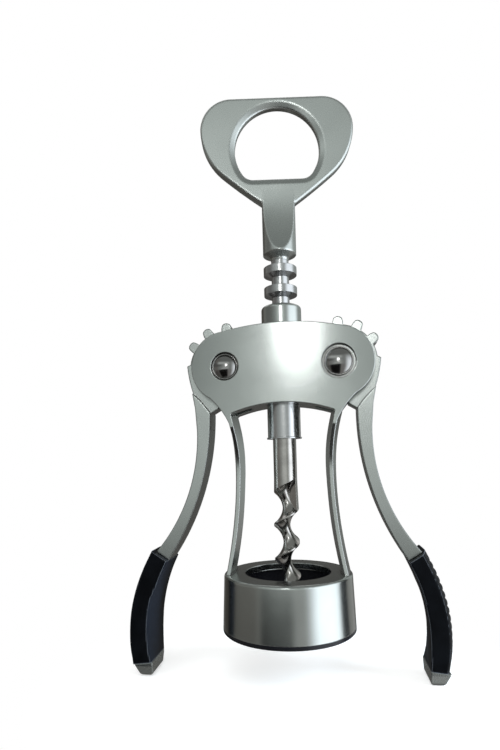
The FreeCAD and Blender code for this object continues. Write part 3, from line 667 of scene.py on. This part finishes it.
@dataclass
class Wing:
    """One lever with its soft grip; sizes in millimetres from the pivot, x outwards.

    pivot is the pivot's x and z in the row frame, and lean is in degrees. outer and inner are the grip's two
    edges, from the top down, and depth is its thickness. A bevel is given by what it cuts from the width and
    from the depth; the thumb's has its cut from the width at shares of the way down. The last four pairs say
    where the ribs are, for slide: two by the share of the way down, one by the share of the half width, and
    one by the distance along the depth.
    """

    nodes: Dict[str, bpy.types.Object]
    side: Side
    metal: Finish = LEVER_NICKEL
    skin: Finish = SoftBlack()
    pivot: Span = (18.2, 86.5)
    lean: float = 0.5
    rows: int = 300
    around: int = 128
    sharp_degrees: float = 32.0
    depth: float = 14.4
    crispness: float = 26.0
    outer: Tuple[Span, ...] = (
        (25.9, -59.9), (28.95, -66.0), (31.95, -74.2), (33.35, -80.5), (33.85, -86.5), (33.7, -92.0),
        (32.9, -97.6))
    inner: Tuple[Span, ...] = (
        (20.5, -63.53), (22.6, -68.2), (24.7, -74.6), (25.9, -80.9), (26.35, -86.5), (26.5, -91.5),
        (26.4, -96.9))
    thumb_bevel_depth: float = 9.0
    thumb_bevel: Tuple[Span, ...] = (
        (0.0, 0.3), (0.12, 0.35), (0.25, 0.55), (0.33, 0.96), (0.4, 1.46), (0.5, 1.75), (0.59, 1.65),
        (0.78, 1.4), (0.9, 1.0), (1.0, 0.2))
    ribbed_bevel: Span = (1.5, 4.0)
    rib_pitch: float = 2.35
    rib_depth: float = 0.34
    ribs_grow: Span = (0.05, 0.06)
    ribs_fade: Span = (0.8, -0.3)
    ribbed_edge: Span = (0.5, 0.2)
    ribbed_side: Span = (2.0, -3.0)

    def build(self) -> None:
        """Dress the lever and put the moulded grip in place of its plain solid."""
        dress(self.nodes[f"{self.side.word}_lever"], self.metal)
        self.grip()

    def to_row(self, x: np.ndarray, y: np.ndarray, z: np.ndarray) -> np.ndarray:
        """Turn a lever's own coordinates into the row frame, in metres.

        x and y both take the side's sign, so the left grip is the right one after half a turn about the
        upright axis. The whole then turns by the lean about Y and moves to the pivot.

        Args:
            x, y, z: millimetres from the pivot, x outwards.
        Returns:
            Points of shape (..., 3).
        """
        sign = self.side.value
        lean = math.radians(self.lean)
        across = x * sign
        return np.stack([across * math.cos(lean) + z * math.sin(lean) + self.pivot[0] * sign,
                         y * sign,
                         z * math.cos(lean) - across * math.sin(lean) + self.pivot[1]], axis=-1) * MM

    def bevel(self, corner: Tuple[int, int], cut: Tuple[Any, Any], width: np.ndarray) -> Tuple[Any, Any, Any]:
        """A bevel's flat, as its normal and its distance from the grip's middle.

        The flat joins the point that is the cut from the depth below the corner to the one that is the cut
        from the width beside it. Its normal is the two cuts, swapped, over their hypotenuse, and its distance
        is the normal times either point.

        Args:
            corner: the signs of the corner that it takes off, across and along the depth.
            cut: what it takes from the width and from the depth.
            width: the half width at each station.
        Returns:
            The normal's two parts and the distance.
        """
        from_width, from_depth = cut
        slant = np.hypot(from_width, from_depth)
        far = (from_depth * width + from_width * (self.depth / 2 - from_depth)) / slant
        return corner[0] * from_depth / slant, corner[1] * from_width / slant, far

    def section(self, turn: np.ndarray, width: np.ndarray, down: np.ndarray) -> Tuple[np.ndarray, ...]:
        """The grip's section: a box with two of its corners bevelled, all its corners a little rounded.

        Each flat is a line at a distance h along its normal n. A point in the direction d lies at
        (sum over the flats of max(0, n.d / h) ** crispness) ** (-1 / crispness) from the middle. The bevel
        for the thumb comes and goes along the grip, and the ribbed bevel is on the opposite corner.

        Args:
            turn: the directions, one row.
            width: the half width at each station, one column.
            down: how far along the grip each station is, 0 to 1, one column.
        Returns:
            The distances across and along the depth, in millimetres, and the thumb's flat's share in the sum.
        """
        depth = self.depth / 2
        box = [(1.0, 0.0, width), (-1.0, 0.0, width), (0.0, 1.0, depth), (0.0, -1.0, depth)]
        thumb_cut = (np.interp(down, *zip(*self.thumb_bevel)), self.thumb_bevel_depth)
        flats = [*box, self.bevel((-1, 1), thumb_cut, width), self.bevel((1, -1), self.ribbed_bevel, width)]
        cosine, sine = np.cos(turn), np.sin(turn)
        pushes = [np.clip((across * cosine + along * sine) / far, 0, None) ** self.crispness
                  for across, along, far in flats]
        total = sum(pushes)
        reach = total ** (-1 / self.crispness)
        return cosine * reach, sine * reach, pushes[len(box)] / total

    def grip(self) -> bpy.types.Object:
        """The moulded grip: its section carried down the lever, with small ribs over its outer edge.

        The middle and half of each station come from the two edges. The outer edge dips by rib_depth times
        the square of half of (1 - the cosine of one turn for each rib_pitch along), faded out at the top,
        below the middle, and away from the ribbed edge.

        Returns:
            The piece.
        """
        outer = through(self.outer, self.rows)
        inner = through(self.inner, self.rows)
        middle = (outer + inner) / 2
        half = (outer - inner) / 2
        width = np.linalg.norm(half, axis=1)[:, None]
        out = half / width
        turn = ((np.arange(self.around) + 0.5) * 2 * math.pi / self.around)[None, :]
        down = np.linspace(0.0, 1.0, self.rows)[:, None]
        across, along, thumb_sheen = self.section(turn, width, down)
        length = float(np.sum(np.linalg.norm(np.diff(middle, axis=0), axis=1)))
        wave = 0.5 - 0.5 * np.cos(2 * math.pi * down * length / self.rib_pitch)
        fade = slide(down, *self.ribs_grow) * slide(down, *self.ribs_fade)
        edge = slide(across / width, *self.ribbed_edge) * slide(along, *self.ribbed_side)
        across = across - self.rib_depth * wave ** 2 * fade * edge
        x = middle[:, :1] + out[:, :1] * across
        z = middle[:, 1:] + out[:, 1:] * across
        points = self.to_row(x, along, z).reshape(-1, 3)
        faces = ring_faces(self.rows, self.around)
        last = (self.rows - 1) * self.around
        caps = [range(self.around), range(last + self.around - 1, last - 1, -1)]
        name = f"{self.side.word}_grip_moulding"
        piece = add_surface(name, points, faces, caps, self.skin, self.sharp_degrees)
        piece.data.attributes.new(THUMBED, "FLOAT", "POINT").data.foreach_set("value", thumb_sheen.ravel())
        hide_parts(f"{self.side.word}_grip")
        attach(piece, f"{self.side.word}_lever")
        return piece


@dataclass
class RackAndWorm:
    """The ringed rack and, below it, the worm."""

    nodes: Dict[str, bpy.types.Object]
    rack: Finish = TurnedNickel()
    steel: Finish = WormSteel()

    def build(self) -> None:
        """Dress the rack and the worm."""
        dress(self.nodes["rack_sleeve"], self.rack)
        dress(self.nodes["worm"], self.steel)


@dataclass
class OpenerHandle:
    """The flat handle with the opener's mouth."""

    nodes: Dict[str, bpy.types.Object]
    metal: Finish = HANDLE_NICKEL

    def build(self) -> None:
        """Dress the handle."""
        dress(self.nodes["opener_handle"], self.metal)


# ---------------------------------------------------------------- studio
@dataclass(frozen=True)
class Patch:
    """A soft-edged patch of the room.

    Azimuth is 0 in front and 90 on the right, and height is 0 where level, both in degrees. Each four stops
    are where the patch starts to rise, is full, starts to fall and is gone.
    """

    azimuth: Stops
    height: Stops
    colour: Colour
    weight: float = 1.0

    @staticmethod
    def band(value: Signal, stops: Stops) -> Signal:
        """1 between the middle stops, 0 outside the outer ones."""
        return value.ramp(stops[0], stops[1]) * (1.0 - value.ramp(stops[2], stops[3]))

    def share(self, around: Signal, height: Signal) -> Signal:
        """How much of the patch shows in a direction."""
        return self.band(around, self.azimuth) * self.band(height, self.height) * self.weight


@dataclass(frozen=True)
class Lamp:
    """A soft rectangular lamp.

    It hangs at place and faces aim, both in millimetres, as its width and height are. Power is in watts, and
    mirrored says whether the metal mirrors it.
    """

    name: str
    place: Point
    aim: Point
    size: Span
    power: float
    mirrored: bool = True
    colour: Colour = WHITE

    def hang(self) -> None:
        """Add the lamp to the scene."""
        data = bpy.data.lights.new(self.name, "AREA")
        data.shape = "RECTANGLE"
        data.size = self.size[0] * MM
        data.size_y = self.size[1] * MM
        data.energy = self.power
        data.color = self.colour
        lamp = bpy.data.objects.new(self.name, data)
        direction = Vector(self.aim) - Vector(self.place)
        lamp.rotation_euler = direction.to_track_quat("-Z", "Y").to_euler()
        lamp.location = Vector(self.place) * MM
        lamp.visible_glossy = self.mirrored
        bpy.context.scene.collection.objects.link(lamp)


# the first two stops of a patch that reaches straight down
FROM_BELOW: Span = (-91.0, -90.0)
# the azimuths straight behind, on the two sides of the seam at 180 degrees
BEHIND: Tuple[Stops, ...] = ((150.0, 160.0, 181.0, 182.0), (-182.0, -181.0, -160.0, -150.0))

ROOM = (
    # shade on the left, deeper low down, above the horizon, and in a strip further round
    Patch((-160.0, -142.0, -62.0, -30.0), (*FROM_BELOW, 40.0, 60.0), (0.27, 0.257, 0.238), 0.85),
    Patch((-150.0, -135.0, -56.0, -44.0), (-60.0, -45.0, -12.0, -5.0), (0.14, 0.132, 0.122), 0.9),
    Patch((-110.0, -90.0, -42.0, -16.0), (7.0, 13.0, 24.0, 32.0), (0.17, 0.175, 0.17), 0.8),
    Patch((-160.0, -144.0, -128.0, -104.0), (*FROM_BELOW, 30.0, 50.0), (0.06, 0.053, 0.045), 0.85),
    # deep shade below the front
    Patch((-52.0, -40.0, 5.0, 18.0), (-70.0, -50.0, -10.5, -8.0), (0.012, 0.0115, 0.011)),
    # front: a glow under the softbox, a pale panel higher up and a pale strip under the horizon
    Patch((-26.0, -10.0, 10.0, 28.0), (-9.0, 0.0, 14.0, 20.0), (0.85, 0.9, 0.88), 0.7),
    Patch((-70.0, -40.0, 10.0, 30.0), (19.0, 26.0, 33.0, 38.0), (0.94, 1.0, 0.98)),
    Patch((-32.0, -24.0, 10.0, 20.0), (-7.5, -5.5, -2.0, 2.0), (0.95, 1.0, 0.98), 0.8),
    # window on the right, and a strip of thin shade further round
    Patch((30.0, 58.0, 88.0, 116.0), (-62.0, -42.0, 4.0, 44.0), (2.3, 2.45, 2.6)),
    Patch((112.0, 122.0, 134.0, 148.0), (*FROM_BELOW, 13.0, 26.0), (0.16, 0.145, 0.13), 0.3),
    # shade straight behind
    *(Patch(azimuth, (-70.0, -60.0, 28.0, 38.0), (0.07, 0.065, 0.06), 0.92) for azimuth in BEHIND),
)

LAMPS = (
    # a softbox in front and a little above
    Lamp("front_softbox", (10.0, -680.0, 290.0), (0.0, 0.0, 86.0), (140.0, 140.0), 0.42),
    # two fills for the floor and the black pieces
    Lamp("broad_fill", (-100.0, -380.0, 620.0), (0.0, 0.0, 60.0), (600.0, 600.0), 2.0, mirrored=False),
    Lamp("window_fill", (420.0, -112.0, 290.0), (0.0, 0.0, 40.0), (250.0, 250.0), 3.0, mirrored=False,
         colour=(0.72, 0.87, 1.0)),
)


@dataclass
class Studio:
    """Floor, background, lights and camera.

    The camera's place, its sensor, the floor's drop under the object and the two radii between which the
    floor fades are in millimetres. The floor's half size and the camera's clipping are in metres. focal_px
    and centre_px are in pixels of the picture, and angles are in degrees.
    """

    camera_place: Point = (11.93, -171.76, 55.62)
    camera_aim: float = -7.859
    roll: float = 1.522
    focal_px: float = 516.389
    centre_px: float = 461.528
    picture_height: int = 750
    sensor: float = 36.0
    clipping: Span = (0.005, 20.0)
    floor_drop: float = 0.2
    floor_half: float = 1.5
    floor_fade: Span = (44.0, 84.0)
    floor_glow: float = 0.55
    floor_mirrored: float = 0.08
    floor_scale: float = 40.0
    floor_tones: Tuple[Colour, Colour] = ((0.80, 0.80, 0.80), (0.82, 0.82, 0.82))
    table: Colour = (0.42, 0.415, 0.405)
    table_edge: Span = (-15.0, -3.0)
    wall: Colour = (0.50, 0.535, 0.52)
    ceiling: Colour = (0.33, 0.35, 0.34)
    ceiling_edge: Span = (33.0, 44.0)
    backdrop: Colour = (0.55, 0.55, 0.55)
    backdrop_depth: Span = (0.15, 0.4)
    backdrop_edge: Span = (32.0, 46.0)

    def build(self) -> None:
        """Set up everything that isn't the object."""
        bpy.context.scene.view_settings.view_transform = "Standard"
        self.camera()
        self.floor()
        self.world()
        for lamp in LAMPS:
            lamp.hang()

    def camera(self) -> None:
        """A level camera, slightly rolled, with its lens and shift worked out from the picture's height."""
        data = bpy.data.cameras.new("studio_camera")
        data.sensor_fit = "VERTICAL"
        data.sensor_height = self.sensor
        data.lens = self.focal_px / self.picture_height * self.sensor
        data.shift_y = (self.centre_px - self.picture_height / 2) / self.picture_height
        data.clip_start, data.clip_end = self.clipping
        camera = bpy.data.objects.new("studio_camera", data)
        aim = math.radians(self.camera_aim)
        roll = math.radians(self.roll)
        forward = Vector((math.sin(aim), math.cos(aim), 0.0))
        right = Vector((math.cos(aim), -math.sin(aim), 0.0))
        up = Vector((0.0, 0.0, 1.0))
        across = right * math.cos(roll) - up * math.sin(roll)
        above = right * math.sin(roll) + up * math.cos(roll)
        turn = Matrix((across, above, -forward)).transposed().to_4x4()
        camera.matrix_world = Matrix.Translation(Vector(self.camera_place) * MM) @ turn
        bpy.context.scene.collection.objects.link(camera)
        bpy.context.scene.camera = camera

    def floor(self) -> None:
        """A plain pale floor just under the wings' tips.

        It scatters light and glows a little towards the camera, so it shows as white with the shadow kept. It
        fades out round the object, and the metal hardly mirrors it.
        """
        low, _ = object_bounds()
        height = low[2] - self.floor_drop * MM
        half = self.floor_half
        mesh = bpy.data.meshes.new("floor")
        square = ((-half, -half), (half, -half), (half, half), (-half, half))
        mesh.from_pydata([(x, y, height) for x, y in square], [], [(0, 1, 2, 3)])
        floor = bpy.data.objects.new("floor", mesh)
        bpy.context.scene.collection.objects.link(floor)
        material = bpy.data.materials.new("pale_floor")
        material.use_nodes = True
        board = Board(material.node_tree)
        colour = board.mix(board.noise(self.floor_scale, RICH_DETAIL), *self.floor_tones)
        matt = board.node("ShaderNodeBsdfDiffuse", None, {"Color": colour}).signal("BSDF")
        glow = board.node("ShaderNodeEmission", None, {"Strength": self.floor_glow}).signal("Emission")
        both = board.node("ShaderNodeAddShader", None, {0: matt, 1: glow}).signal("Shader")
        ray = board.node("ShaderNodeLightPath")
        mirrored = ray.signal("Is Glossy Ray") + ray.signal("Is Transmission Ray")
        seen = ray.signal("Is Camera Ray") + mirrored * self.floor_mirrored
        near = board.node("ShaderNodeMixShader", None, {0: seen, 1: matt, 2: both}).signal("Shader")
        parts = board.node("ShaderNodeSeparateXYZ", None, {0: board.place()})
        radius = (parts.signal("X") ** 2.0 + parts.signal("Y") ** 2.0) ** 0.5
        clear = board.node("ShaderNodeBsdfTransparent").signal("BSDF")
        fade = radius.ramp(self.floor_fade[0] * MM, self.floor_fade[1] * MM)
        fade = 1.0 - (1.0 - fade) * (1.0 - mirrored * (1.0 - self.floor_mirrored))
        whole = board.node("ShaderNodeMixShader", None, {0: fade, 1: near, 2: clear}).signal("Shader")
        board.node("ShaderNodeOutputMaterial", None, {"Surface": whole})
        mesh.materials.append(material)
        floor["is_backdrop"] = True

    def world(self) -> None:
        """White to the camera; to the metal a soft room.

        The room is a pale table below, a wall and a ceiling, with the patches of ROOM over them. A backdrop
        stands high up behind the object: the metal mirrors it as white, and everything else gets its grey.
        """
        world = bpy.data.worlds.new("studio")
        world.use_nodes = True
        bpy.context.scene.world = world
        board = Board(world.node_tree)
        direction = board.node("ShaderNodeTexCoord").signal("Generated")
        parts = board.node("ShaderNodeSeparateXYZ", None, {0: direction})
        x, y, z = parts.signal("X"), parts.signal("Y"), parts.signal("Z")
        around = x.bearing(y * -1.0)
        height = z.rise()
        room = board.mix(height.ramp(*self.table_edge), self.table, self.wall)
        room = board.mix(height.ramp(*self.ceiling_edge), room, self.ceiling)
        for patch in ROOM:
            room = board.mix(patch.share(around, height), room, patch.colour)
        ray = board.node("ShaderNodeLightPath")
        backdrop = y.ramp(*self.backdrop_depth) * height.ramp(*self.backdrop_edge)
        polished = (ray.signal("Is Glossy Ray") + ray.signal("Is Transmission Ray")) * backdrop
        room = board.mix(backdrop, room, self.backdrop)
        colour = board.mix(ray.signal("Is Camera Ray") + polished, room, WHITE)
        lit = board.node("ShaderNodeBackground", None, {"Color": colour, "Strength": 1.0})
        board.node("ShaderNodeOutputWorld", None, {"Surface": lit.signal("Background")})


def main() -> None:
    """Load the solids, dress them, add what replaces them, and set up the studio."""
    logging.basicConfig(level=logging.INFO, format="%(name)s: %(message)s")
    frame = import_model()
    nodes = frame["nodes"]
    for assembly in (Frame(nodes), Wing(nodes, Side.LEFT), Wing(nodes, Side.RIGHT), RackAndWorm(nodes),
                     OpenerHandle(nodes)):
        assembly.build()
        LOG.info("%s done", type(assembly).__name__)
    Studio().build()


if __name__ == "__main__":
    main()
